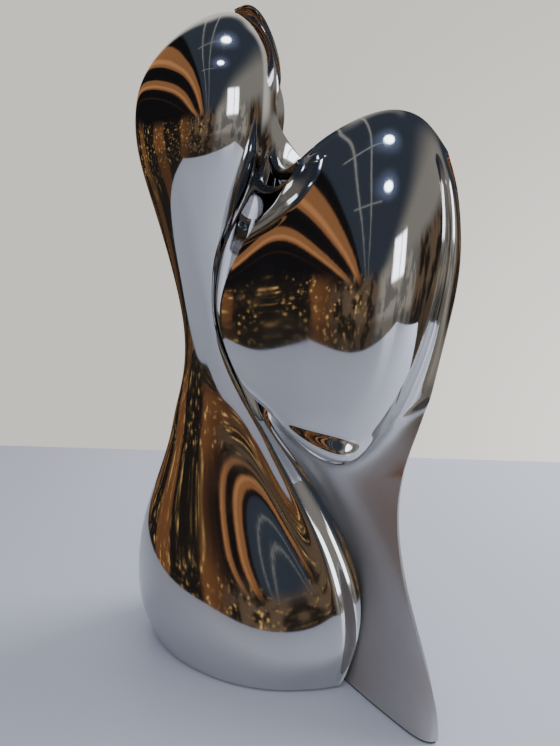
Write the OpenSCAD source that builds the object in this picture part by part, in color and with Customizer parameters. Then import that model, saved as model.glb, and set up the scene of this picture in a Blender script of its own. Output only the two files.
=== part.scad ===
// Magnetic desk sculpture: two interlocking polished figures that hold each other with magnets.
// The tall figure is a hollow body (head, waist, belly) with a thin web on its right side.
// The wing figure is a hollow shield with a thin wing that sweeps forward to the table.
// Each figure's thin sheet passes behind the other's hollow body, and they part along +X.
// Millimetres, +Z up, front towards -Y, resting on Z = 0, centred on X and Y.

/* [Shells] */
// Wall thickness of the two front shells
front_wall = 2.2; // [1.8:0.1:2.6]
// Wall thickness of the two back shells
back_wall = 1.6; // [1.2:0.1:2.0]
// Thickness left at the free edges of the thin sheets
edge_wall = 1.2; // [1.0:0.1:1.6]
// Gap at the seam between a front shell and its back shell
seam_gap = 0.3; // [0.2:0.05:0.5]
// Rows of facets up each large shell
shell_rows = 36; // [24:1:44]
// Facets across each large shell
shell_columns = 31; // [20:1:36]

/* [Base] */
// Thickness of the felt under each figure
felt_height = 1.0; // [0.8:0.1:1.5]
// Thickness of the plate that closes the belly
plate_height = 3; // [2:0.5:4]
// Inset of the plate from the outside of the belly
plate_inset = 3.6; // [3:0.1:5]
// Inset of the felt from the outside of the belly
felt_inset = 1.6; // [1:0.1:3]
// Diameter of the ballast weight
ballast_d = 40; // [30:1:44]
// Height of the ballast weight
ballast_h = 22; // [10:1:30]
// Shaft diameter of the ballast screws
screw_d = 4; // [3:0.5:5]
// Distance between the two ballast screws
screw_pitch = 22; // [14:1:28]

/* [Magnets] */
// Diameter of each magnet
magnet_d = 18; // [12:1:20]
// Height of each magnet
magnet_h = 4; // [3:0.5:5]
// Wall of the steel cup round each magnet
cup_wall = 1.5; // [1:0.5:2]
// Height of the facing magnet bonded on the wing
facing_h = 2.4; // [2:0.2:3]
// Height of the facing magnet bonded on the web
web_magnet_h = 4.6; // [2:0.2:6]
// Height of the magnet pair in the shield
shield_magnet_z = 180; // [170:1:185]
// Height of the magnet pair in the belly
belly_magnet_z = 44; // [38:1:52]

/* [Hidden] */
polished = "silver";
felt_grey = "dimgray";

// A section of the tall figure at one height: points in plan from one seam round to the other.
function section(z, points) = [for (p = points) [p[0], p[1], z + (len(p) > 2 ? p[2] : 0)]];

// Tall figure, front: left seam, left side, front, crest, side wall, web or rim edge.
TALL_FRONT = [
    section(1, [[-58, 50], [-70, 34], [-53, 3], [-14, -17], [16, -15.5], [23, -14], [25.5, -13.2], [27, -13]]),
    section(16, [[-60, 50], [-77, 32], [-59, 2], [-16, -17], [20, -14], [30, -14], [32.5, -10], [34.8, -8.6]]),
    section(36, [[-60, 48], [-78, 32], [-60, 4], [-18, -13], [18, -11], [28, -13], [33, -7], [37, -6]]),
    section(58, [[-57, 46], [-75, 31], [-58, 8], [-22, -8], [8, -6], [20, -11], [26, -4], [32, -2]]),
    section(80, [[-51, 43], [-65, 30], [-53, 11], [-25, -2], [-1, -1], [8, -8], [13, 0], [18, 5]]),
    section(100, [[-46, 40], [-57, 29], [-47, 13], [-29, 3], [-10, 1], [-3, -4], [1, 4], [4, 8]]),
    section(114, [[-44, 38], [-54.5, 28], [-44, 14], [-31, 5], [-16, 2], [-11, -1], [-9, 5], [-8, 10]]),
    section(128, [[-40, 36], [-49.5, 26], [-41, 14], [-33, 7], [-23, 3], [-17, 1], [-14, 14], [-4, 18.5]]),
    section(144, [[-38, 35], [-46.5, 26], [-40, 14], [-34, 8], [-29, 3], [-24, 4], [-19, 17], [10, 15]]),
    section(162, [[-38, 34], [-47, 25], [-42, 14], [-36, 7], [-32, 3], [-28, 6], [-22, 18], [20, 17]]),
    section(184, [[-41, 34], [-51, 25], [-46, 12], [-35, 4], [-28, 3], [-22, 9], [-13, 21], [22, 19]]),
    section(206, [[-45, 35], [-56, 25], [-51, 8], [-34, -3], [-20, 1], [-14, 10], [-3, 22], [24, 22.5, 6]]),
    section(226, [[-47, 36], [-61, 25], [-57, 5], [-34, -8], [-12, -2], [-8, 10], [-2, 20, 2], [8, 24, 2]]),
    section(242, [[-48, 36], [-62, 26], [-58, 6], [-31, -9], [-9, -2], [-6, 10], [-4, 19], [-4, 21, 1]]),
    section(256, [[-46, 36], [-60, 26], [-54, 7], [-29, -8], [-8, 0], [-5, 11], [-2, 20], [2, 20]]),
    section(269, [[-40, 36], [-50, 27], [-45, 13], [-27, 0], [-11, 6], [-6, 15], [-3, 22], [-2, 20]]),
    section(279, [[-33, 34], [-38, 29], [-35, 21], [-25, 13], [-15, 15], [-11, 20], [-9, 24, 2], [-8, 22, 4]]),
    section(283, [[-26, 30], [-28, 28], [-26, 25], [-22, 22], [-18, 23], [-16, 25], [-15, 27, 2], [-15, 25, 4]]),
    section(283, [[-23, 28], [-23, 28], [-22.5, 28], [-22, 28], [-21, 28], [-20, 28], [-19, 28, 1], [-18.5, 28, 1]])
];

// Tall figure, back: left seam, round the back, along the wing, to the inside of the front shell.
TALL_BACK = [
    section(1, [[-58, 50], [-50, 60], [-24, 60], [-9, 34], [6, 10], [23.6, -10]]),
    section(16, [[-60, 50], [-52, 61], [-24, 61], [-7, 34], [10, 10], [32, -6]]),
    section(36, [[-60, 48], [-52, 59], [-24, 58], [-6, 32], [12, 10], [34, -3]]),
    section(58, [[-57, 46], [-50, 55], [-24, 54], [-7, 31], [10, 12], [29, 1]]),
    section(80, [[-51, 43], [-45, 51], [-26, 50], [-12, 33], [2, 18], [15, 7]]),
    section(100, [[-46, 40], [-41, 46], [-27, 45], [-16, 33], [-6, 20], [2, 10.5]]),
    section(114, [[-44, 38], [-39, 43], [-28, 42], [-19, 33], [-13, 22], [-9.5, 11]]),
    section(128, [[-40, 36], [-36, 41], [-27, 40], [-20, 34], [-15, 27], [-12, 19]]),
    section(144, [[-38, 35], [-34, 40], [-27, 39], [-21, 33], [-17, 29], [-15, 21.5]]),
    section(162, [[-38, 34], [-34, 39], [-28, 38], [-22, 33], [-19, 29], [-18, 23]]),
    section(184, [[-41, 34], [-37, 40], [-28, 40], [-20, 35], [-15, 31], [-11, 25.5]]),
    section(206, [[-45, 35], [-41, 43], [-29, 44], [-17, 39], [-8, 33], [-4, 26]]),
    section(226, [[-47, 36], [-43, 46], [-29, 48], [-12, 42], [0, 34], [-2, 25]]),
    section(242, [[-48, 36], [-44, 47], [-28, 49], [-9, 42], [7, 33], [-4, 24]]),
    section(256, [[-46, 36], [-42, 47], [-27, 48], [-9, 42], [6, 33], [-4, 24.5]]),
    section(269, [[-40, 36], [-37, 44], [-26, 45], [-14, 40], [-5, 33], [-6, 26]]),
    section(279, [[-33, 34], [-31, 39], [-24, 40], [-16, 37], [-11, 33], [-11, 28.5]]),
    section(283, [[-26, 31], [-25, 33], [-22, 34], [-19, 33], [-17, 32], [-17, 30.5]]),
    section(283, [[-23, 29.5], [-22.5, 29.5], [-22, 29.5], [-21.5, 29.5], [-20.5, 29.5], [-19.5, 29.5]])
];

// Wing figure, front: left rim or hidden edge, over the shield, right shoulder, groove, outer edge.
WING_FRONT = [
    [[1, 28, 1], [16, 8, 1], [28.5, -8, 1], [37, -20, 1], [45, -30, 1], [53, -40, 1], [58, -43, 1], [62, -42, 1]],
    [[2, 28, 16], [20, 7.5, 16], [34, -6, 16], [41, -17, 16], [48, -28, 16], [54, -36, 16], [59, -39, 16], [62, -40, 14]],
    [[4, 28, 36], [22, 10, 36], [36, -2, 36], [42, -10, 36], [46, -17, 36], [50, -22, 36], [53, -27, 36], [55, -29, 36]],
    [[2, 28, 58], [16, 16, 58], [30, 5, 58], [36, 0, 58], [40, -5, 58], [44, -9, 58], [47, -13, 58], [50, -15, 58]],
    [[-3, 28, 80], [7, 21, 80], [18, 14, 80], [27, 9, 80], [34, 6, 80], [40, 3, 80], [46, 1, 80], [50, -1, 80]],
    [[-6, 28, 97], [2, 21, 96], [10, 15, 93], [19, 11, 90], [27, 9, 88], [37, 8, 90], [46, 7, 94], [55, 6, 98]],
    [[-4, 21, 110], [3, 15, 106], [10, 11, 101], [19, 9, 97], [27, 8, 95], [38, 8, 98], [49, 9, 104], [60, 8, 110]],
    [[-4, 13, 119], [2, 6, 113], [10, 2, 106], [18, 1, 101], [27, 1, 97], [39, 7, 103], [51, 10, 111], [63, 10, 118]],
    [[-7, 10, 122], [1, 0, 116], [10, -6, 108], [19, -10, 103], [30, -10, 100], [41, 6, 107], [52, 10, 114], [64, 10, 121]],
    [[-9, 9, 124], [0, -1, 118], [10, -9, 112], [20, -14, 109], [32, -14, 106], [43, 5, 110], [53, 10, 117], [65, 10, 124]],
    [[-11, 8, 126], [0, -1, 120], [10, -7, 117], [21, -10, 115], [33, -10, 112], [45, 4, 114], [54, 11, 120], [66, 11, 126]],
    [[-14, 7, 130], [-2, -1, 124], [10, -8, 121], [22, -12, 119], [36, -12, 117], [48, 3, 120], [56, 11, 126], [67, 11, 131]],
    [[-21, 6, 142], [-5, 0, 137], [10, -8, 134], [27, -15, 132], [44, -14, 134], [56, 2, 138], [62, 12, 142], [70, 12, 146]],
    [[-27, 6, 162], [-13, 2, 160], [6, -10, 160], [28, -18, 160], [50, -17, 160], [62, 1, 162], [67, 13, 164], [74, 12, 166]],
    [[-22, 7, 180], [-11, 3, 181], [6, -8, 182], [28, -16, 183], [50, -16, 183], [65, 1, 184], [70, 13, 184], [76, 12, 184]],
    [[-12, 10, 198], [-4, 5, 200], [9, -4, 202], [30, -11, 203], [51, -12, 204], [65, 3, 204], [70, 14, 203], [75, 13, 201]],
    [[1, 14, 213], [5, 8, 216], [16, 2, 218], [34, -4, 221], [51, -4, 221], [63, 6, 219], [68, 15, 217], [73, 14, 215]],
    [[7, 17, 223], [13, 13, 227], [24, 9, 231], [38, 5, 235], [51, 5, 234], [61, 12, 230], [66, 17, 227], [70, 15, 224]],
    [[9, 18, 226], [17, 17, 232], [27, 16, 238], [40, 15, 243], [50, 15, 243], [59, 17, 239], [65, 18, 234], [69, 16, 228]],
    [[9, 19, 227], [17, 19, 234], [27, 19, 240], [39, 19, 245], [49, 19, 246], [58, 19, 243], [64, 19, 237], [69, 17, 229]]
];

// How far the belly and waist lean back, row by row up each net, and the share that each column takes.
tall_lean = [0, 1.5, 4, 10, 14.5, 18, 19.5, 20, 19.5, 17, 11.5, 5];
tall_front_share = [0, 0.4, 0.75, 1, 1, 1, 0.8, 0.5];
tall_back_share = [0, 0, 0, 0.3, 0.5, 0.8];
wing_lean = [0, 1, 3.5, 8.5, 8, 8, 8];
wing_share = [1, 1, 1, 0.75, 0.5, 0.25, 0.1, 0];

// The shield's back plate: where it starts and ends on the wing figure's net, and its bulge.
plate_us = [0.06, 0.8];
plate_vs = [0.5, 0.95];
plate_gap = 0.6;
plate_bulge = 6;
// Moves the object so that its bounding box is centred on X and Y.
centre = [-2.32, -8.62, 0];
// Centre of the belly's ballast.
ballast_at = [-31, 24];
// Place and direction of each magnet axis, from inside the hollow body towards the thin sheet.
shield_magnet_x = 10;
shield_magnet_y = 14.8;
web_magnet_y = 25.1;
belly_magnet_at = [8.4, 13.6];
belly_magnet_turn = 46;
belly_magnet_dip = 6;
// From the belly magnet's face to the facing magnet on the wing.
belly_magnet_reach = 7.2;

// Uniform cubic B-spline surface over a net, carried to the net's own edges.
function carried(list) = concat([2 * list[0] - list[1]], list, [2 * list[len(list) - 1] - list[len(list) - 2]]);
function net_of(rows) = carried([for (row = rows) carried(row)]);
function entry(list, i) = i < len(list) ? list[i] : 0;
function leaned(rows, by_row, by_column) = [for (r = [0:len(rows) - 1]) [for (c = [0:len(rows[r]) - 1])
    rows[r][c] + [0, entry(by_row, r) * by_column[c], 0]]];
function basis(t) = [pow(1 - t, 3), 3 * pow(t, 3) - 6 * t * t + 4, -3 * pow(t, 3) + 3 * t * t + 3 * t + 1, pow(t, 3)] / 6;
function weighted(w, a, b, c, d) = w[0] * a + w[1] * b + w[2] * c + w[3] * d;
function across(row, c, w) = weighted(w, row[c], row[c + 1], row[c + 2], row[c + 3]);
function on_net(net, u, v) =
    let (
        columns = len(net[0]) - 3,
        rows = len(net) - 3,
        c = min(floor(u * columns), columns - 1),
        r = min(floor(v * rows), rows - 1),
        wu = basis(u * columns - c),
        wv = basis(v * rows - r)
    )
    weighted(wv, across(net[r], c, wu), across(net[r + 1], c, wu), across(net[r + 2], c, wu), across(net[r + 3], c, wu));
function unit(a) = a / norm(a);
function normal_on(net, u, v) =
    let (
        step = 0.004,
        u0 = max(u - step, 0),
        u1 = min(u + step, 1),
        top = min(v, 0.985),
        v0 = max(top - step, 0),
        v1 = top + step
    )
    level(cross(on_net(net, u1, top) - on_net(net, u0, top), on_net(net, u, v1) - on_net(net, u, v0)), v == 0);
// The bottom edge of a shell stays flat: its wall is laid off without a rise.
function level(a, flat) = unit(flat ? [a[0], a[1], 0] : a);
function shares(count, from = 0, to = 1) = [for (i = [0:count]) from + (to - from) * i / count];

// Triangles of a closed sheet between two grids of points, the first one outside.
function both_sides(a, b, c, d, n, out) = out ? [[a, c, b], [a, d, c]] : [[a + n, b + n, c + n], [a + n, c + n, d + n]];
module sheet(outer, inner, out = true) {
    rows = len(outer);
    columns = len(outer[0]);
    n = rows * columns;
    points = concat([for (row = outer) each row], [for (row = inner) each row]);
    turned = [for (side = [true, false], r = [0:rows - 2], c = [0:columns - 2])
        each both_sides(r * columns + c, r * columns + c + 1, (r + 1) * columns + c + 1, (r + 1) * columns + c, n, side)];
    rim = concat(
        [for (c = [0:columns - 1]) c],
        [for (r = [1:rows - 1]) r * columns + columns - 1],
        [for (c = [1:columns - 1]) (rows - 1) * columns + columns - 1 - c],
        [for (r = [1:rows - 2]) (rows - 1 - r) * columns]
    );
    edges = [for (i = [0:len(rim) - 1])
        let (a = rim[i], b = rim[(i + 1) % len(rim)])
        each [[a, b, b + n], [a, b + n, a + n]]];
    faces = concat(turned, edges);
    polyhedron(points, out ? faces : [for (f = faces) [f[2], f[1], f[0]]], convexity = 8);
}

// Wall thickness at a place on a sheet: full inside, thin at a free edge on the right or the top.
function eased(t) = t <= 0 ? 0 : t >= 1 ? 1 : t * t * (3 - 2 * t);
function wall_at(u, wall) = edge_wall + (wall - edge_wall) * eased((1 - u) / 0.12);

tall_net = net_of(leaned(TALL_FRONT, tall_lean, tall_front_share));
tall_back_net = net_of([for (row = leaned(TALL_BACK, tall_lean, tall_back_share))
    [for (i = [0:len(row) - 1]) i == 0 ? row[i] + [seam_gap, seam_gap, 0] : row[i]]]);
wing_net = net_of(leaned(WING_FRONT, wing_lean, wing_share));
tall_vs = shares(shell_rows);
tall_us = shares(shell_columns);

module tall_front_shell() {
    color(polished)
    sheet(
        [for (v = tall_vs) [for (u = tall_us) on_net(tall_net, u, v)]],
        [for (v = tall_vs) [for (u = tall_us) on_net(tall_net, u, v) - wall_at(u, front_wall) * normal_on(tall_net, u, v)]]
    );
}

module tall_back_shell() {
    us = shares(17);
    color(polished)
    sheet(
        [for (v = tall_vs) [for (u = us) on_net(tall_back_net, u, v)]],
        [for (v = tall_vs) [for (u = us) on_net(tall_back_net, u, v) + back_wall * normal_on(tall_back_net, u, v)]],
        false
    );
}

module wing_front_shell() {
    color(polished)
    sheet(
        [for (v = tall_vs) [for (u = tall_us) on_net(wing_net, u, v)]],
        [for (v = tall_vs) [for (u = tall_us) on_net(wing_net, u, v) - front_wall * normal_on(wing_net, u, v)]]
    );
}

// Foot of the hollow body in plan, inset from its outside.
function flat_point(net, u, inset) =
    let (p = on_net(net, u, 0), n = normal_on(net, u, 0))
    [p[0] + inset * n[0], p[1] + inset * n[1]];
function foot(inset) = concat(
    [for (u = shares(22, 0.02, 0.68)) flat_point(tall_net, u, -inset)],
    [for (u = shares(16, 0.7, 0.03)) flat_point(tall_back_net, u, inset)]
);
screw_head = 2 * screw_d;
module at_ballast_screws() {
    for (side = [-1, 1])
        translate([ballast_at[0] + side * screw_pitch / 2, ballast_at[1], felt_height]) children();
}

module tall_base_felt() {
    color(felt_grey)
    linear_extrude(height = felt_height)
    polygon(foot(felt_inset));
}

module tall_base_plate() {
    color("gainsboro")
    difference() {
        translate([0, 0, felt_height]) linear_extrude(height = plate_height) polygon(foot(plate_inset));
        at_ballast_screws() {
            translate([0, 0, -1]) cylinder(d = screw_d + 0.3, h = plate_height + 2, $fn = 32);
            translate([0, 0, -0.01]) cylinder(d1 = screw_head + 0.3, d2 = screw_d + 0.3, h = screw_head / 2 - screw_d / 2, $fn = 32);
        }
    }
}

module ballast_weight() {
    color("dimgray")
    difference() {
        translate([ballast_at[0], ballast_at[1], felt_height + plate_height])
            cylinder(d = ballast_d, h = ballast_h, $fn = 64);
        at_ballast_screws() cylinder(d = screw_d + 0.1, h = 15, $fn = 32);
    }
}

module ballast_screws() {
    color("gray")
    at_ballast_screws() {
        translate([0, 0, 0.1]) cylinder(d1 = screw_head, d2 = screw_d, h = screw_head / 2 - screw_d / 2, $fn = 32);
        translate([0, 0, 0.1]) cylinder(d = screw_d, h = 13, $fn = 32);
    }
}

// Pot magnet: the cup's open face and the magnet's face lie on the plane that the axis starts from.
module magnet_cup() {
    color("darkgray")
    translate([0, 0, -magnet_h - cup_wall])
    difference() {
        cylinder(d = magnet_d + 2 * cup_wall + 0.4, h = magnet_h + cup_wall, $fn = 64);
        translate([0, 0, cup_wall]) cylinder(d = magnet_d + 0.4, h = magnet_h + 1, $fn = 64);
    }
}
module magnet_disc(height) {
    color("lightgray") cylinder(d = magnet_d, h = height, $fn = 64);
}
module on_shield_axis(y) {
    translate([shield_magnet_x, y, shield_magnet_z]) rotate([-90, 0, 0]) children();
}
module on_belly_axis(out) {
    translate([belly_magnet_at[0], belly_magnet_at[1], belly_magnet_z])
        rotate([0, 0, belly_magnet_turn]) rotate([0, 90 + belly_magnet_dip, 0]) translate([0, 0, out]) children();
}

module shield_magnet_cup() { on_shield_axis(shield_magnet_y) magnet_cup(); }
module shield_magnet() { on_shield_axis(shield_magnet_y - magnet_h + 0.1) magnet_disc(magnet_h - 0.1); }
module web_magnet() { on_shield_axis(web_magnet_y - web_magnet_h) magnet_disc(web_magnet_h); }
module belly_magnet_cup() { on_belly_axis(0) magnet_cup(); }
module belly_magnet() { on_belly_axis(0.1 - magnet_h) magnet_disc(magnet_h - 0.1); }
module wing_magnet() { on_belly_axis(belly_magnet_reach) magnet_disc(facing_h); }

function plate_point(u, v, back) =
    let (
        p = on_net(wing_net, u, v),
        left = on_net(wing_net, 0, v)[1],
        right = on_net(wing_net, 1, v)[1]
    )
    [p[0], left + (right - left) * u + front_wall + plate_gap + plate_bulge * sin(180 * u) + back, p[2]];
module shield_back_plate() {
    us = shares(15, plate_us[0], plate_us[1]);
    vs = shares(20, plate_vs[0], plate_vs[1]);
    color(polished)
    sheet(
        [for (v = vs) [for (u = us) plate_point(u, v, 0)]],
        [for (v = vs) [for (u = us) plate_point(u, v, back_wall)]]
    );
}

module wing_base_felt() {
    us = shares(24, 0.02, 0.97);
    color(felt_grey)
    linear_extrude(height = felt_height)
    polygon(concat(
        [for (u = us) flat_point(wing_net, u, -0.2)],
        [for (i = [len(us) - 1:-1:0]) flat_point(wing_net, us[i], -front_wall * 0.9)]
    ));
}

translate(centre) tall_front_shell();
translate(centre) tall_back_shell();
translate(centre) tall_base_plate();
translate(centre) ballast_weight();
translate(centre) ballast_screws();
translate(centre) tall_base_felt();
translate(centre) belly_magnet_cup();
translate(centre) belly_magnet();
translate(centre) web_magnet();
translate(centre) wing_front_shell();
translate(centre) shield_back_plate();
translate(centre) shield_magnet_cup();
translate(centre) shield_magnet();
translate(centre) wing_magnet();
translate(centre) wing_base_felt();
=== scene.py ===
"""Magnetic desk sculpture: two interlocking mirror-polished figures on a pale desk.

The tall figure is a hollow head, waist and belly with a thin web, and the wing figure is a hollow
shield with a thin wing. Each shell is a smooth NURBS sheet over a net of control points in
millimetres, given its wall thickness and rolled edges. Everything else is built in metres.
"""

import math

import bpy
from bpy.props import FloatProperty, FloatVectorProperty, IntProperty, PointerProperty
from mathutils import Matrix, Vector


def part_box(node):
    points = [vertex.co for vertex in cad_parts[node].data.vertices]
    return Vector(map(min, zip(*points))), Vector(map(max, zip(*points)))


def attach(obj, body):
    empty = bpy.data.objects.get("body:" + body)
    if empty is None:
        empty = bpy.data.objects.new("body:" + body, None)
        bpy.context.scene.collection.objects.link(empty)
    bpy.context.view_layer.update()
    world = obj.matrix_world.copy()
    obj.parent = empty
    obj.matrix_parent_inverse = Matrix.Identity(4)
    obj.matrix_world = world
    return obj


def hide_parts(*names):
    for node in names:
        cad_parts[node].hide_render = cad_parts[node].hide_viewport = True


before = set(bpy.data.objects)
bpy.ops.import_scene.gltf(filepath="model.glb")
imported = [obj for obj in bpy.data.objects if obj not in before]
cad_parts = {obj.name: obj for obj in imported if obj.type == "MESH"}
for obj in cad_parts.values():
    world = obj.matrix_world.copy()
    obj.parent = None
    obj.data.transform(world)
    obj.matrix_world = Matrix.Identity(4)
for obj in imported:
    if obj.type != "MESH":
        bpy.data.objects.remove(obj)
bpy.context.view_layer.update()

bl_info = {
    "name": "Magnetic Desk Sculpture",
    "version": (1, 0, 0),
    "blender": (4, 2, 0),
    "location": "View3D > Sidebar > Sculpture",
    "description": "Builds two interlocking polished figures held together by magnets",
    "category": "Add Mesh",
}

MM = 0.001
# Moves the nets so that the object is centred on X and Y.
CENTRE = Vector((-2.32, -8.62, 0.0))
# How far a shell may lie off the box of its CAD node, metres.
BOX_TOLERANCE = 0.002


# ---------------------------------------------------------------------------
# Control nets, millimetres
# ---------------------------------------------------------------------------

def section(z, points):
    """One level of a net: points in plan, some with a small rise over the level."""
    return [Vector((p[0], p[1], z + (p[2] if len(p) > 2 else 0.0))) for p in points]


# Front of the tall figure: left seam, left side, front, crest, side wall, web or rim edge.
TALL_FRONT = [
    section(1, [(-58, 50), (-70, 34), (-53, 3), (-14, -17), (16, -15.5), (23, -14), (25.5, -13.2),
             (27, -13)]),
    section(16, [(-60, 50), (-77, 32), (-59, 2), (-16, -17), (20, -14), (30, -14), (32.5, -10),
             (34.8, -8.6)]),
    section(36, [(-60, 48), (-78, 32), (-60, 4), (-18, -13), (18, -11), (28, -13), (33, -7), (37, -6)]),
    section(58, [(-57, 46), (-75, 31), (-58, 8), (-22, -8), (8, -6), (20, -11), (26, -4), (32, -2)]),
    section(80, [(-51, 43), (-65, 30), (-53, 11), (-25, -2), (-1, -1), (8, -8), (13, 0), (18, 5)]),
    section(100, [(-46, 40), (-57, 29), (-47, 13), (-29, 3), (-10, 1), (-3, -4), (1, 4), (4, 8)]),
    section(114, [(-44, 38), (-54.5, 28), (-44, 14), (-31, 5), (-16, 2), (-11, -1), (-9, 5), (-8, 10)]),
    section(128, [(-40, 36), (-49.5, 26), (-41, 14), (-33, 7), (-23, 3), (-17, 1), (-14, 14), (-4, 18.5)]),
    section(144, [(-38, 35), (-46.5, 26), (-40, 14), (-34, 8), (-29, 3), (-24, 4), (-19, 17), (10, 15)]),
    section(162, [(-38, 34), (-47, 25), (-42, 14), (-36, 7), (-32, 3), (-28, 6), (-22, 18), (20, 17)]),
    section(184, [(-41, 34), (-51, 25), (-46, 12), (-35, 4), (-28, 3), (-22, 9), (-13, 21), (22, 19)]),
    section(206, [(-45, 35), (-56, 25), (-51, 8), (-34, -3), (-20, 1), (-14, 10), (-3, 22), (24, 22.5, 6)]),
    section(226, [(-47, 36), (-61, 25), (-57, 5), (-34, -8), (-12, -2), (-8, 10), (-2, 20, 2), (8, 24, 2)]),
    section(242, [(-48, 36), (-62, 26), (-58, 6), (-31, -9), (-9, -2), (-6, 10), (-4, 19), (-4, 21, 1)]),
    section(256, [(-46, 36), (-60, 26), (-54, 7), (-29, -8), (-8, 0), (-5, 11), (-2, 20), (2, 20)]),
    section(269, [(-40, 36), (-50, 27), (-45, 13), (-27, 0), (-11, 6), (-6, 15), (-3, 22), (-2, 20)]),
    section(279, [(-33, 34), (-38, 29), (-35, 21), (-25, 13), (-15, 15), (-11, 20), (-9, 24, 2),
             (-8, 22, 4)]),
    section(283, [(-26, 30), (-28, 28), (-26, 25), (-22, 22), (-18, 23), (-16, 25), (-15, 27, 2),
             (-15, 25, 4)]),
    section(283, [(-23, 28), (-23, 28), (-22.5, 28), (-22, 28), (-21, 28), (-20, 28), (-19, 28, 1),
                  (-18.5, 28, 1)]),
]

# Back of the tall figure: left seam, round the back, along the wing, to inside the front shell.
TALL_BACK = [
    section(1, [(-58, 50), (-50, 60), (-24, 60), (-9, 34), (6, 10), (23.6, -10)]),
    section(16, [(-60, 50), (-52, 61), (-24, 61), (-7, 34), (10, 10), (32, -6)]),
    section(36, [(-60, 48), (-52, 59), (-24, 58), (-6, 32), (12, 10), (34, -3)]),
    section(58, [(-57, 46), (-50, 55), (-24, 54), (-7, 31), (10, 12), (29, 1)]),
    section(80, [(-51, 43), (-45, 51), (-26, 50), (-12, 33), (2, 18), (15, 7)]),
    section(100, [(-46, 40), (-41, 46), (-27, 45), (-16, 33), (-6, 20), (2, 10.5)]),
    section(114, [(-44, 38), (-39, 43), (-28, 42), (-19, 33), (-13, 22), (-9.5, 11)]),
    section(128, [(-40, 36), (-36, 41), (-27, 40), (-20, 34), (-15, 27), (-12, 19)]),
    section(144, [(-38, 35), (-34, 40), (-27, 39), (-21, 33), (-17, 29), (-15, 21.5)]),
    section(162, [(-38, 34), (-34, 39), (-28, 38), (-22, 33), (-19, 29), (-18, 23)]),
    section(184, [(-41, 34), (-37, 40), (-28, 40), (-20, 35), (-15, 31), (-11, 25.5)]),
    section(206, [(-45, 35), (-41, 43), (-29, 44), (-17, 39), (-8, 33), (-4, 26)]),
    section(226, [(-47, 36), (-43, 46), (-29, 48), (-12, 42), (0, 34), (-2, 25)]),
    section(242, [(-48, 36), (-44, 47), (-28, 49), (-9, 42), (7, 33), (-4, 24)]),
    section(256, [(-46, 36), (-42, 47), (-27, 48), (-9, 42), (6, 33), (-4, 24.5)]),
    section(269, [(-40, 36), (-37, 44), (-26, 45), (-14, 40), (-5, 33), (-6, 26)]),
    section(279, [(-33, 34), (-31, 39), (-24, 40), (-16, 37), (-11, 33), (-11, 28.5)]),
    section(283, [(-26, 31), (-25, 33), (-22, 34), (-19, 33), (-17, 32), (-17, 30.5)]),
    section(283, [(-23, 29), (-22.5, 29.5), (-22, 30), (-21.5, 30), (-20.5, 29.8), (-19.5, 29.5)]),
]

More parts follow.
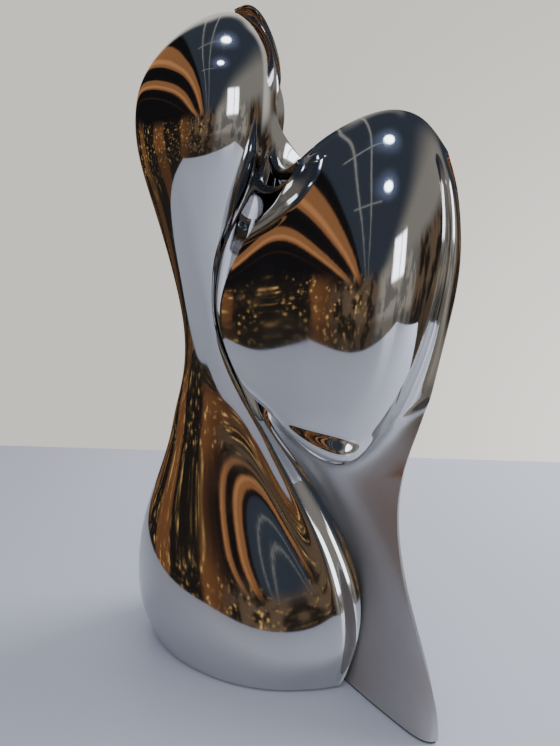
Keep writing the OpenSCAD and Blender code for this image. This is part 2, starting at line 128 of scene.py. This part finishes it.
# Front of the wing figure: left rim or hidden edge, shield, right shoulder, groove, outer edge.
WING_FRONT = [section(0, row) for row in [
    [(1, 28, 1), (16, 8, 1), (28.5, -8, 1), (37, -20, 1), (45, -30, 1), (53, -40, 1), (58, -43, 1),
     (62, -42, 1)],
    [(2, 28, 16), (20, 7.5, 16), (34, -6, 16), (41, -17, 16), (48, -28, 16), (54, -36, 16), (59, -39, 16),
     (62, -40, 14)],
    [(4, 28, 36), (22, 10, 36), (36, -2, 36), (42, -10, 36), (46, -17, 36), (50, -22, 36), (53, -27, 36),
     (55, -29, 36)],
    [(2, 28, 58), (16, 16, 58), (30, 5, 58), (36, 0, 58), (40, -5, 58), (44, -9, 58), (47, -13, 58),
     (50, -15, 58)],
    [(-3, 28, 80), (7, 21, 80), (18, 14, 80), (27, 9, 80), (34, 6, 80), (40, 3, 80), (46, 1, 80),
     (50, -1, 80)],
    [(-6, 28, 97), (2, 21, 96), (10, 15, 93), (19, 11, 90), (27, 9, 88), (37, 8, 90), (46, 7, 94),
     (55, 6, 98)],
    [(-4, 21, 110), (3, 15, 106), (10, 11, 101), (19, 9, 97), (27, 8, 95), (38, 8, 98), (49, 9, 104),
     (60, 8, 110)],
    [(-4, 13, 119), (2, 6, 113), (10, 2, 106), (18, 1, 101), (27, 1, 97), (39, 7, 103), (51, 10, 111),
     (63, 10, 118)],
    [(-7, 10, 122), (1, 0, 116), (10, -6, 108), (19, -10, 103), (30, -10, 100), (41, 6, 107), (52, 10, 114),
     (64, 10, 121)],
    [(-9, 9, 124), (0, -1, 118), (10, -9, 112), (20, -14, 109), (32, -14, 106), (43, 5, 110), (53, 10, 117),
     (65, 10, 124)],
    [(-11, 8, 126), (0, -1, 120), (10, -7, 117), (21, -10, 115), (33, -10, 112), (45, 4, 114), (54, 11, 120),
     (66, 11, 126)],
    [(-14, 7, 130), (-2, -1, 124), (10, -8, 121), (22, -12, 119), (36, -12, 117), (48, 3, 120), (56, 11, 126),
     (67, 11, 131)],
    [(-21, 6, 142), (-5, 0, 137), (10, -8, 134), (27, -15, 132), (44, -14, 134), (56, 2, 138), (62, 12, 142),
     (70, 12, 146)],
    [(-27, 6, 162), (-13, 2, 160), (6, -10, 160), (28, -18, 160), (50, -17, 160), (62, 1, 162), (67, 13, 164),
     (74, 12, 166)],
    [(-22, 7, 180), (-11, 3, 181), (6, -8, 182), (28, -16, 183), (50, -16, 183), (65, 1, 184), (70, 13, 184),
     (76, 12, 184)],
    [(-12, 10, 198), (-4, 5, 200), (9, -4, 202), (30, -11, 203), (51, -12, 204), (65, 3, 204), (70, 14, 203),
     (75, 13, 201)],
    [(1, 14, 213), (5, 8, 216), (16, 2, 218), (34, -4, 221), (51, -4, 221), (63, 6, 219), (68, 15, 217),
     (73, 14, 215)],
    [(7, 17, 223), (13, 13, 227), (24, 9, 231), (38, 5, 235), (51, 5, 234), (61, 12, 230), (66, 17, 227),
     (70, 15, 224)],
    [(9, 18, 226), (17, 17, 232), (27, 16, 238), (40, 15, 243), (50, 15, 243), (59, 17, 239), (65, 18, 234),
     (69, 16, 228)],
    [(9, 19, 227), (17, 19, 234), (27, 19, 240), (39, 19, 245), (49, 19, 246), (58, 19, 243), (64, 19, 237),
     (69, 17, 229)],
]]

# How far the belly and waist lean back, row by row up each net, and the share each column takes.
TALL_LEAN = (0, 1.5, 4, 10, 14.5, 18, 19.5, 20, 19.5, 17, 11.5, 5)
TALL_FRONT_SHARE = (0, 0.4, 0.75, 1, 1, 1, 0.8, 0.5)
TALL_BACK_SHARE = (0, 0, 0, 0.3, 0.5, 0.8)
WING_LEAN = (0, 1, 3.5, 8.5, 8, 8, 8)
WING_SHARE = (1, 1, 1, 0.75, 0.5, 0.25, 0.1, 0)


def leaned(rows, by_row, by_column):
    """A net with its lower rows set back."""
    return [[p + Vector((0, (by_row[r] if r < len(by_row) else 0) * by_column[c], 0))
             for c, p in enumerate(row)] for r, row in enumerate(rows)]


def carried(points):
    """A row of control points carried one step past each end, so that the sheet reaches the ends."""
    return [2 * points[0] - points[1]] + list(points) + [2 * points[-1] - points[-2]]


def net_of(rows):
    """A whole net carried past all four edges."""
    wide = [carried(row) for row in rows]
    below = [2 * a - b for a, b in zip(wide[0], wide[1])]
    above = [2 * a - b for a, b in zip(wide[-1], wide[-2])]
    return [below] + wide + [above]


# ---------------------------------------------------------------------------
# Properties
# ---------------------------------------------------------------------------

class ShellSettings(bpy.types.PropertyGroup):
    front_wall: FloatProperty(name="Front Wall", description="Wall thickness of the front shells",
                              default=0.0022, min=0.001, unit="LENGTH")
    back_wall: FloatProperty(name="Back Wall", description="Wall thickness of the back shells",
                             default=0.0016, min=0.001, unit="LENGTH")
    edge_share: FloatProperty(name="Edge Share", description="Share of the wall left at the free right edge",
                              default=0.55, min=0.2, max=1.0)
    edge_roll: FloatProperty(name="Edge Roll", description="Radius of the rolled edges",
                             default=0.0005, min=0.0001, unit="LENGTH")
    seam_gap: FloatProperty(name="Seam Gap", description="Gap between a front and a back shell",
                            default=0.0003, unit="LENGTH")
    detail: IntProperty(name="Detail", description="Facets between two control points",
                        default=10, min=3, max=16)


class FinishSettings(bpy.types.PropertyGroup):
    metal: FloatVectorProperty(name="Metal", description="Colour of the polished metal", subtype="COLOR",
                               default=(0.60, 0.60, 0.605), min=0.0, max=1.0)
    haze: FloatProperty(name="Haze", description="Roughness of the polish", default=0.045, min=0.0, max=1.0)
    satin: FloatProperty(name="Satin", description="Roughness of the brushed wing below the shield",
                         default=0.46, min=0.0, max=1.0)
    smear: FloatProperty(name="Smear", description="Extra roughness where it has been handled",
                         default=0.10, min=0.0, max=1.0)


class StageSettings(bpy.types.PropertyGroup):
    desk: FloatVectorProperty(name="Desk", description="Colour of the desk top", subtype="COLOR",
                              default=(0.50, 0.53, 0.62), min=0.0, max=1.0)
    wall: FloatVectorProperty(name="Wall", description="Colour of the wall", subtype="COLOR",
                              default=(0.80, 0.76, 0.70), min=0.0, max=1.0)
    beam: FloatVectorProperty(name="Beams", description="Colour of the ceiling beams in reflections",
                              subtype="COLOR", default=(0.36, 0.16, 0.065), min=0.0, max=1.0)
    panel: FloatVectorProperty(name="Ceiling Panel", description="Colour of the ceiling in reflections",
                               subtype="COLOR", default=(0.045, 0.055, 0.075), min=0.0, max=1.0)
    lens: FloatProperty(name="Lens", description="Focal length of the camera", default=27.17, min=10.0)


# ---------------------------------------------------------------------------
# Modelling helpers
# ---------------------------------------------------------------------------

def lone(obj):
    """Leave one object selected and active."""
    bpy.ops.object.select_all(action="DESELECT")
    obj.select_set(True)
    bpy.context.view_layer.objects.active = obj


def nurbs_sheet(name, net, detail):
    """A smooth sheet: one NURBS spline for each row of the net, skinned into a surface."""
    curve = bpy.data.curves.new(name, "SURFACE")
    curve.dimensions = "3D"
    for row in net:
        spline = curve.splines.new("NURBS")
        spline.points.add(len(row) - 1)
        for point, place in zip(spline.points, row):
            point.co = (*((place + CENTRE) * MM), 1.0)
            point.select = True
    obj = bpy.data.objects.new(name, curve)
    bpy.context.scene.collection.objects.link(obj)
    lone(obj)
    bpy.ops.object.mode_set(mode="EDIT")
    bpy.ops.curve.select_all(action="SELECT")
    bpy.ops.curve.make_segment()
    bpy.ops.object.mode_set(mode="OBJECT")
    if len(curve.splines) != 1:
        raise RuntimeError(f"{name}: the rows did not join into one surface")
    surface = curve.splines[0]
    surface.order_u = surface.order_v = 4
    surface.use_endpoint_u = surface.use_endpoint_v = False
    surface.resolution_u = surface.resolution_v = detail
    curve.resolution_u = curve.resolution_v = detail
    curve.render_resolution_u = curve.render_resolution_v = 0
    bpy.ops.object.convert(target="MESH")
    return bpy.context.view_layer.objects.active


def apply_modifier(obj, kind, **settings):
    """Add one modifier, set it and apply it."""
    modifier = obj.modifiers.new(kind.title(), kind)
    for key, value in settings.items():
        setattr(modifier, key, value)
    lone(obj)
    bpy.ops.object.modifier_apply(modifier=modifier.name)


def thin_edge_group(obj, near, share):
    """A vertex group that thins the wall towards the points of the net's last column."""
    group = obj.vertex_groups.new(name="wall")
    reach = 0.012
    for vertex in obj.data.vertices:
        gap = min((vertex.co - p).length for p in near)
        ease = min(gap / reach, 1.0)
        group.add([vertex.index], share + (1 - share) * ease * ease * (3 - 2 * ease), "REPLACE")
    return group.name


def facing(obj, towards):
    """Turn every face so that the sheet's outside looks along a direction."""
    lone(obj)
    bpy.ops.object.mode_set(mode="EDIT")
    bpy.ops.mesh.select_all(action="SELECT")
    bpy.ops.mesh.remove_doubles(threshold=0.00002)
    bpy.ops.mesh.normals_make_consistent(inside=False)
    bpy.ops.object.mode_set(mode="OBJECT")
    total = sum((face.normal * face.area for face in obj.data.polygons), Vector())
    if total.dot(Vector(towards)) < 0:
        bpy.ops.object.mode_set(mode="EDIT")
        bpy.ops.mesh.select_all(action="SELECT")
        bpy.ops.mesh.flip_normals()
        bpy.ops.object.mode_set(mode="OBJECT")


def finish_shell(obj, node, wall, roll, towards, group=""):
    """Give a sheet its wall, roll its edges, smooth it and put it in the place of its CAD node."""
    facing(obj, towards)
    settings = {"thickness": wall, "offset": -1.0, "use_even_offset": True, "use_quality_normals": True}
    if group:
        settings["vertex_group"] = group
    apply_modifier(obj, "SOLIDIFY", **settings)
    apply_modifier(obj, "BEVEL", width=roll, segments=3, limit_method="ANGLE", angle_limit=math.radians(50),
                   use_clamp_overlap=True, harden_normals=False)
    lone(obj)
    bpy.ops.object.shade_smooth_by_angle(angle=math.radians(50))
    low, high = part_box(node)
    mine = [obj.matrix_world @ Vector(c) for c in obj.bound_box]
    for axis in range(3):
        off = max(abs(min(c[axis] for c in mine) - low[axis]), abs(max(c[axis] for c in mine) - high[axis]))
        if off > BOX_TOLERANCE:
            raise RuntimeError(f"{obj.name} is {off * 1000:.1f} mm off {node} along axis {axis}")
    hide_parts(node)


def softened(node, name, roll):
    """A fitting from its CAD node, with broken edges and smooth round faces."""
    source = bpy.data.objects[node]
    mesh = source.data.copy()
    mesh.transform(source.matrix_world)
    obj = bpy.data.objects.new(name, mesh)
    bpy.context.scene.collection.objects.link(obj)
    lone(obj)
    bpy.ops.object.mode_set(mode="EDIT")
    bpy.ops.mesh.select_all(action="SELECT")
    bpy.ops.mesh.remove_doubles(threshold=0.000005)
    bpy.ops.mesh.dissolve_limited(angle_limit=math.radians(0.5))
    bpy.ops.object.mode_set(mode="OBJECT")
    apply_modifier(obj, "BEVEL", width=roll, segments=2, limit_method="ANGLE", angle_limit=math.radians(35),
                   use_clamp_overlap=True)
    lone(obj)
    bpy.ops.object.shade_smooth_by_angle(angle=math.radians(35))
    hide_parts(node)
    return obj


# ---------------------------------------------------------------------------
# Materials
# ---------------------------------------------------------------------------

class Socket:
    """A shader socket that takes part in arithmetic: every expression adds its Math nodes."""

    def __init__(self, shop, link):
        self.shop = shop
        self.link = link

    def math(self, operation, *others):
        values = {i: other for i, other in enumerate((self, *others))}
        return self.shop.node("ShaderNodeMath", {"operation": operation}, values)

    def __add__(self, other):
        return self.math("ADD", other)

    def __radd__(self, other):
        return self.math("ADD", other)

    def __mul__(self, other):
        return self.math("MULTIPLY", other)

    def __rmul__(self, other):
        return self.math("MULTIPLY", other)

    def __sub__(self, other):
        return self.math("SUBTRACT", other)

    def __rsub__(self, other):
        return self.math("MULTIPLY", -1.0).math("ADD", other)

    def __truediv__(self, other):
        return self.math("DIVIDE", other)

    def __rtruediv__(self, other):
        return self.math("POWER", -1.0).math("MULTIPLY", other)

    def above(self, edge, soft):
        """0 below an edge, 1 above it, over a soft width."""
        return self.shop.node("ShaderNodeMapRange", {"interpolation_type": "SMOOTHSTEP"},
                              {"Value": self, "From Min": edge - soft, "From Max": edge + soft})

    def between(self, low, high, soft):
        """1 inside a band, 0 outside it."""
        return self.above(low, soft) * (1 - self.above(high, soft))


class Shop:
    """Builds one node tree."""

    def __init__(self, tree):
        self.tree = tree
        tree.nodes.clear()

    def node(self, kind, settings=None, sockets=None, out=0):
        """Add a node, set it, feed its sockets and give back one output."""
        node = self.tree.nodes.new(kind)
        for key, value in (settings or {}).items():
            setattr(node, key, value)
        for key, value in (sockets or {}).items():
            if isinstance(value, Socket):
                self.tree.links.new(value.link, node.inputs[key])
            else:
                node.inputs[key].default_value = value
        return Socket(self, node.outputs[out])

    def split(self, vector):
        """The three numbers of a vector."""
        node = self.tree.nodes.new("ShaderNodeSeparateXYZ")
        self.tree.links.new(vector.link, node.inputs[0])
        return [Socket(self, out) for out in node.outputs]

    def blend(self, share, a, b):
        """Mix two colours by a share."""
        node = self.tree.nodes.new("ShaderNodeMix")
        node.data_type = "RGBA"
        for key, value in ((0, share), (6, a), (7, b)):
            if isinstance(value, Socket):
                self.tree.links.new(value.link, node.inputs[key])
            else:
                node.inputs[key].default_value = value
        return Socket(self, node.outputs[2])


def material(name, **constants):
    """A new material with one Principled shader, its constants set on its own sockets."""
    made = bpy.data.materials.new(name)
    made.use_nodes = True
    shop = Shop(made.node_tree)
    shader = made.node_tree.nodes.new("ShaderNodeBsdfPrincipled")
    for key, value in constants.items():
        shader.inputs[key.replace("_", " ")].default_value = value
    output = made.node_tree.nodes.new("ShaderNodeOutputMaterial")
    made.node_tree.links.new(shader.outputs[0], output.inputs[0])
    return made, shop, shader


def feed(shop, shader, **sockets):
    """Link sockets of the shader."""
    for key, value in sockets.items():
        shop.tree.links.new(value.link, shader.inputs[key.replace("_", " ")])


def rgb(colour):
    return (*colour, 1.0)


def polished_metal(name, finish, satin_wing=False):
    """Mirror polish with faint haze, buffing hairlines and finger smears, and a satin lower wing."""
    made, shop, shader = material(name, Metallic=1.0)
    place = shop.node("ShaderNodeTexCoord", out="Object")
    smear = shop.node("ShaderNodeTexNoise", {},
                      {"Vector": place, "Scale": 22.0, "Detail": 5.0, "Roughness": 0.6})
    smeared = smear.above(0.60, 0.08)
    stretched = shop.node("ShaderNodeMapping", {}, {"Vector": place, "Scale": (900.0, 900.0, 60.0)})
    hairs = shop.node("ShaderNodeTexNoise", {}, {"Vector": stretched, "Scale": 1.0, "Detail": 3.0})
    rough = smeared * finish.smear * 0.5 + hairs * 0.02 + finish.haze
    tint = shop.blend(smeared * 0.3, rgb(finish.metal), rgb([c * 0.92 for c in finish.metal]))
    if satin_wing:
        depth, height = shop.split(place)[1:]
        behind_lip = depth.above(-0.004, 0.003) * (1 - height.above(0.114, 0.014))
        satin = (1 - height.above(0.093, 0.003)).math("MAXIMUM", behind_lip)
        spots = shop.node("ShaderNodeTexNoise", {}, {"Vector": place, "Scale": 60.0, "Detail": 2.0})
        spots = spots.above(0.70, 0.08)
        rough = rough + satin * (finish.satin + spots * 0.10)
        tint = shop.blend(satin * spots * 0.5, tint, rgb([c * 0.7 for c in finish.metal]))
    bump = shop.node("ShaderNodeBump", {}, {"Strength": 0.02, "Distance": 0.0002, "Height": hairs})
    feed(shop, shader, Base_Color=tint, Roughness=rough, Normal=bump)
    return made


def desk_top(colour):
    """Pale desk: a soft sheen with faint clouding."""
    made, shop, shader = material("desk_top", Metallic=0.0)
    place = shop.node("ShaderNodeTexCoord", out="Object")
    cloud = shop.node("ShaderNodeTexNoise", {}, {"Vector": place, "Scale": 5.0, "Detail": 3.0})
    tone = shop.blend(cloud, rgb([c * 0.97 for c in colour]), rgb([min(c * 1.03, 1.0) for c in colour]))
    feed(shop, shader, Base_Color=tone, Roughness=cloud * 0.05 + 0.33)
    return made


def plain_metal(name, colour, rough, grain):
    """Plain metal with a fine grain."""
    made, shop, shader = material(name, Metallic=1.0)
    place = shop.node("ShaderNodeTexCoord", out="Object")
    noise = shop.node("ShaderNodeTexNoise", {}, {"Vector": place, "Scale": grain, "Detail": 4.0})
    tone = shop.blend(noise, rgb([c * 0.85 for c in colour]), rgb(colour))
    feed(shop, shader, Base_Color=tone, Roughness=noise * 0.12 + rough)
    return made


def felt(colour):
    """Grey wool felt."""
    made, shop, shader = material("felt_pad", Metallic=0.0, Sheen_Weight=0.3)
    place = shop.node("ShaderNodeTexCoord", out="Object")
    wool = shop.node("ShaderNodeTexNoise", {}, {"Vector": place, "Scale": 900.0, "Detail": 5.0})
    tone = shop.blend(wool, rgb([c * 0.6 for c in colour]), rgb(colour))
    bump = shop.node("ShaderNodeBump", {}, {"Strength": 0.6, "Distance": 0.0004, "Height": wool})
    feed(shop, shader, Base_Color=tone, Roughness=wool * 0.1 + 0.85, Normal=bump)
    return made


# ---------------------------------------------------------------------------
# Operators
# ---------------------------------------------------------------------------

def give(obj, made):
    """Put one material on an object."""
    obj.data.materials.clear()
    obj.data.materials.append(made)


def metal_of(context, name="polished_metal"):
    """The polished metal, made once; the wing figure's own kind is satin below the shield."""
    finish = context.scene.sculpture_finish
    return bpy.data.materials.get(name) or polished_metal(name, finish, name == "wing_metal")


class SCULPTURE_OT_tall_front(bpy.types.Operator):
    """Front of the tall figure: head, waist, belly, rim and web"""
    bl_idname = "sculpture.tall_front"
    bl_label = "Tall Figure Front"

    def execute(self, context):
        shell = context.scene.sculpture_shell
        rows = leaned(TALL_FRONT, TALL_LEAN, TALL_FRONT_SHARE)
        obj = nurbs_sheet("head_and_belly", net_of(rows), shell.detail)
        edge = [(row[-1] + CENTRE) * MM for row in rows]
        steps = 8
        near = [a.lerp(b, i / steps) for a, b in zip(edge, edge[1:]) for i in range(steps)]
        group = thin_edge_group(obj, near, shell.edge_share)
        finish_shell(obj, "tall_front_shell", shell.front_wall, shell.edge_roll, (0, -1, 0), group)
        give(obj, metal_of(context))
        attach(obj, "tall_figure")
        return {"FINISHED"}


class SCULPTURE_OT_tall_back(bpy.types.Operator):
    """Back of the tall figure"""
    bl_idname = "sculpture.tall_back"
    bl_label = "Tall Figure Back"

    def execute(self, context):
        shell = context.scene.sculpture_shell
        rows = leaned(TALL_BACK, TALL_LEAN, TALL_BACK_SHARE)
        gap = shell.seam_gap / MM
        rows = [[row[0] + Vector((gap, gap, 0))] + row[1:] for row in rows]
        obj = nurbs_sheet("back_of_head_and_belly", net_of(rows), shell.detail)
        finish_shell(obj, "tall_back_shell", shell.back_wall, shell.edge_roll * 0.6, (0, 1, 0))
        give(obj, metal_of(context))
        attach(obj, "tall_figure")
        return {"FINISHED"}


class SCULPTURE_OT_wing_front(bpy.types.Operator):
    """Front of the wing figure: shield and wing"""
    bl_idname = "sculpture.wing_front"
    bl_label = "Wing Figure Front"

    def execute(self, context):
        shell = context.scene.sculpture_shell
        obj = nurbs_sheet("shield_and_wing", net_of(leaned(WING_FRONT, WING_LEAN, WING_SHARE)), shell.detail)
        finish_shell(obj, "wing_front_shell", shell.front_wall, shell.edge_roll, (0, -1, 0))
        give(obj, metal_of(context, "wing_metal"))
        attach(obj, "wing_figure")
        return {"FINISHED"}


class SCULPTURE_OT_fittings(bpy.types.Operator):
    """Plate, weight, screws, magnets and felts: the pieces inside and below"""
    bl_idname = "sculpture.fittings"
    bl_label = "Inner Fittings"

    def execute(self, context):
        satin = plain_metal("satin_aluminium", (0.62, 0.63, 0.64), 0.32, 300.0)
        iron = plain_metal("cast_iron", (0.10, 0.10, 0.11), 0.6, 500.0)
        zinc = plain_metal("zinc_steel", (0.55, 0.57, 0.60), 0.28, 400.0)
        nickel = plain_metal("nickel_magnet", (0.66, 0.65, 0.62), 0.12, 200.0)
        wool = felt((0.09, 0.09, 0.10))
        mirror = metal_of(context)
        tall, wing = "tall_figure", "wing_figure"
        for node, name, roll, made, body, slot in (
            ("tall_base_plate", "foot_plate", 0.0003, satin, tall, "satin_aluminium"),
            ("ballast_weight", "foot_weight", 0.0010, iron, tall, "cast_iron"),
            ("ballast_screws", "weight_screws", 0.0001, zinc, tall, "zinc_steel"),
            ("belly_magnet_cup", "cup_in_belly", 0.0003, zinc, tall, "zinc_steel"),
            ("belly_magnet", "magnet_in_belly", 0.0003, nickel, tall, "nickel_magnet"),
            ("web_magnet", "magnet_on_web", 0.0005, nickel, tall, "nickel_magnet"),
            ("shield_back_plate", "back_of_shield", 0.0004, mirror, wing, "polished_aluminium"),
            ("shield_magnet_cup", "cup_in_shield", 0.0003, zinc, wing, "zinc_steel"),
            ("shield_magnet", "magnet_in_shield", 0.0003, nickel, wing, "nickel_magnet"),
            ("wing_magnet", "magnet_on_wing", 0.0004, nickel, wing, "nickel_magnet"),
        ):
            piece = softened(node, name, roll)
            give(piece, made)
            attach(piece, body)
        for node in ("tall_base_felt", "wing_base_felt"):
            give(bpy.data.objects[node], wool)
        return {"FINISHED"}


class SCULPTURE_OT_stage(bpy.types.Operator):
    """Desk, room light and camera"""
    bl_idname = "sculpture.stage"
    bl_label = "Desk, Light and Camera"

    def execute(self, context):
        stage = context.scene.sculpture_stage
        self.add_desk(stage)
        self.add_camera(context, stage)
        self.add_room(context, stage)
        self.add_side_light()
        return {"FINISHED"}

    @staticmethod
    def add_desk(stage):
        """A finite desk top whose far edge shows behind the figures."""
        bpy.ops.object.select_all(action="DESELECT")
        bpy.ops.mesh.primitive_plane_add(size=1.0, location=(0, 0, 0))
        desk = bpy.context.active_object
        desk.name = "desk"
        corners = [(-0.42, -0.46), (0.70, -0.62), (-0.42, 0.312), (0.70, 0.215)]
        for vertex, (x, y) in zip(desk.data.vertices, corners):
            vertex.co = (x, y, -0.0002)
        give(desk, desk_top(stage.desk))

    @staticmethod
    def add_side_light():
        """A wide soft light from the right, which brightens that side of the desk."""
        bpy.ops.object.light_add(type="AREA", location=(0.75, 0.25, 0.45))
        lamp = bpy.context.active_object
        lamp.data.size = 0.5
        lamp.data.energy = 9.0
        lamp.rotation_euler = (Vector((0.15, 0.0, 0.0)) - lamp.location).to_track_quat("-Z", "Y").to_euler()
        lamp.visible_glossy = False

    @staticmethod
    def add_camera(context, stage):
        """The camera stands close in front, a little above the middle, tilted down."""
        bpy.ops.object.camera_add(location=(-0.00232, -0.23662, 0.188), rotation=(math.radians(78), 0, 0))
        camera = bpy.context.active_object
        camera.data.lens = stage.lens
        camera.data.sensor_fit = "VERTICAL"
        camera.data.sensor_height = 36.0
        camera.data.clip_start = 0.01
        camera.data.dof.use_dof = False
        context.scene.camera = camera

    @staticmethod
    def add_room(context, stage):
        """A pale surround with painted light, brighter to the right and low down, and a beamed room with
        lights and a window for the reflections.
        """
        world = bpy.data.worlds.new("room")
        context.scene.world = world
        world.use_nodes = True
        shop = Shop(world.node_tree)
        look = shop.node("ShaderNodeTexCoord", out="Generated")
        x, y, z = shop.split(look)
        azimuth = x.math("ARCTAN2", y * -1.0)
        room = room_below_ceiling(shop, look, azimuth, z)
        ceiling_from, ceiling_blur = 0.20, 0.07
        room = shop.blend(z.above(ceiling_from, ceiling_blur), room, ceiling(shop, stage, look, x, y, z))
        window = azimuth.between(0.50, 0.86, 0.03) * z.between(0.12, 0.38, 0.02)
        panes = 1 - azimuth.between(0.69, 0.72, 0.008) * 0.8
        room = shop.blend(window * panes, room, (5.0, 5.2, 5.6, 1))
        wall_side = azimuth.above(2.5, 0.15).math("MAXIMUM", 1 - azimuth.above(-2.75, 0.12))
        room = shop.blend(wall_side * (1 - z.above(0.80, 0.08)), room, rgb(stage.wall))
        # Painted light on the wall that is seen straight on: the wall colour grows brighter to the right and
        # low down, as if lit from that side.
        painted_light_share = x.above(0.25, 0.35) * (1 - z.above(0.10, 0.45))
        wall_with_painted_light = shop.blend(painted_light_share, rgb([c * 1.08 for c in stage.wall]), rgb([c * 1.9 for c in stage.wall]))
        soft = shop.blend(x.above(0.1, 0.9), (0.66, 0.70, 0.80, 1), (1.05, 1.03, 1.00, 1))
        glossy = shop.node("ShaderNodeLightPath", out="Is Glossy Ray")
        seen = shop.node("ShaderNodeLightPath", out="Is Camera Ray")
        shade = shop.blend(glossy, shop.blend(seen, soft, wall_with_painted_light), room)
        back = world.node_tree.nodes.new("ShaderNodeBackground")
        world.node_tree.links.new(shade.link, back.inputs["Color"])
        back.inputs["Strength"].default_value = 1.0
        output = world.node_tree.nodes.new("ShaderNodeOutputWorld")
        world.node_tree.links.new(back.outputs[0], output.inputs[0])


def room_below_ceiling(shop, look, azimuth, z):
    """Dark clutter with gold glints on the left, brown in the middle, beige on the right."""
    clutter = shop.node("ShaderNodeTexNoise", {}, {"Vector": look, "Scale": 7.0, "Detail": 4.0})
    brown = shop.blend(clutter.above(0.5, 0.06), (0.025, 0.02, 0.016, 1), (0.16, 0.11, 0.07, 1))
    beige = shop.blend(clutter.above(0.52, 0.04), (0.42, 0.38, 0.32, 1), (0.20, 0.19, 0.18, 1))
    room = shop.blend(azimuth.above(-0.5, 0.25), (0.018, 0.015, 0.013, 1), brown)
    room = shop.blend(azimuth.between(0.2, 1.4, 0.1), room, beige)
    column = (azimuth * 9.0 + clutter * 1.5).math("SINE").above(0.25, 0.2) * (1 - azimuth.above(-0.55, 0.15))
    room = shop.blend(column, room, (0.20, 0.085, 0.035, 1))
    fine = shop.node("ShaderNodeTexNoise", {},
                     {"Vector": look, "Scale": 24.0, "Detail": 6.0, "Roughness": 0.7})
    glints = fine.above(0.61, 0.02) * (1 - azimuth.above(0.0, 0.2)) * z.between(-0.35, 0.25, 0.05)
    room = shop.blend(glints, room, (1.4, 0.85, 0.30, 1))
    return shop.blend(z.above(-0.12, 0.04), shop.blend(0.5, room, (0.03, 0.025, 0.02, 1)), room)


def ceiling(shop, stage, look, x, y, z):
    """Beams that run straight ahead overhead, a dark panel with pale lines, and two lamps."""
    rise = z.math("MAXIMUM", 0.03)
    side = x / rise
    ahead = y / rise * -1.0
    spacing, first, bend = 0.72, -0.86, 0.05
    waver = shop.node("ShaderNodeTexNoise", {}, {"Vector": look, "Scale": 2.0, "Detail": 1.0}) - 0.5
    turns = (side + waver * bend - first) * (2 * math.pi / spacing)
    stripe = turns.math("COSINE")
    inside_room = side.above(-2.1, 0.1)
    beams = shop.blend(stripe.above(0.10, 0.12) * inside_room, (0.010, 0.009, 0.010, 1), rgb(stage.beam))
    bright = rgb([min(c * 1.9, 1.0) for c in stage.beam])
    glow = (turns + 0.5).math("COSINE").above(0.93, 0.05) * inside_room * 0.8
    beams = shop.blend(glow, beams, bright)
    panel = shop.blend(side.above(1.2, 0.5), rgb(stage.panel), (0.30, 0.28, 0.25, 1))
    lines = side.between(-0.335, -0.315, 0.006).math("MAXIMUM", side.between(-0.145, -0.125, 0.006))
    for place in (0.12, 1.0):
        cross = ahead.between(place, place + 0.025, 0.006) * side.between(-0.42, 0.1, 0.02)
        lines = lines.math("MAXIMUM", cross)
    panel = shop.blend(lines * 0.6, panel, (0.55, 0.55, 0.50, 1))
    look_up = shop.blend(side.above(-0.56, 0.02), beams, panel)
    for place_side, place_ahead in ((0.16, 0.08), (0.22, 0.78)):
        off_side = side - place_side
        off_ahead = ahead - place_ahead
        away = (off_side * off_side + off_ahead * off_ahead * 1.6).math("SQRT")
        halo = 1 - away.above(0.20, 0.20)
        look_up = shop.blend(halo * 0.5, look_up, (0.35, 0.45, 0.75, 1))
        look_up = shop.blend(1 - away.above(0.10, 0.025), look_up, (9.0, 9.6, 11.0, 1))
    return look_up


class SCULPTURE_PT_panel(bpy.types.Panel):
    """Sidebar with the settings and one button for each group"""
    bl_label = "Magnetic Desk Sculpture"
    bl_idname = "SCULPTURE_PT_panel"
    bl_space_type = "VIEW_3D"
    bl_region_type = "UI"
    bl_category = "Sculpture"

    def draw(self, context):
        for group in GROUPS:
            settings = getattr(context.scene, group)
            for key in settings.__annotations__:
                self.layout.prop(settings, key)
        for operator in OPERATORS:
            self.layout.operator(operator.bl_idname)


GROUPS = {
    "sculpture_shell": ShellSettings,
    "sculpture_finish": FinishSettings,
    "sculpture_stage": StageSettings,
}
OPERATORS = (
    SCULPTURE_OT_tall_front,
    SCULPTURE_OT_tall_back,
    SCULPTURE_OT_wing_front,
    SCULPTURE_OT_fittings,
    SCULPTURE_OT_stage,
)


def register():
    for group in (*GROUPS.values(), *OPERATORS, SCULPTURE_PT_panel):
        bpy.utils.register_class(group)
    for name, group in GROUPS.items():
        setattr(bpy.types.Scene, name, PointerProperty(type=group))


def unregister():
    for name in GROUPS:
        delattr(bpy.types.Scene, name)
    for group in (SCULPTURE_PT_panel, *reversed(OPERATORS), *GROUPS.values()):
        bpy.utils.unregister_class(group)


def main():
    register()
    bpy.ops.sculpture.tall_front()
    bpy.ops.sculpture.tall_back()
    bpy.ops.sculpture.wing_front()
    bpy.ops.sculpture.fittings()
    bpy.ops.sculpture.stage()


if __name__ == "__main__":
    main()
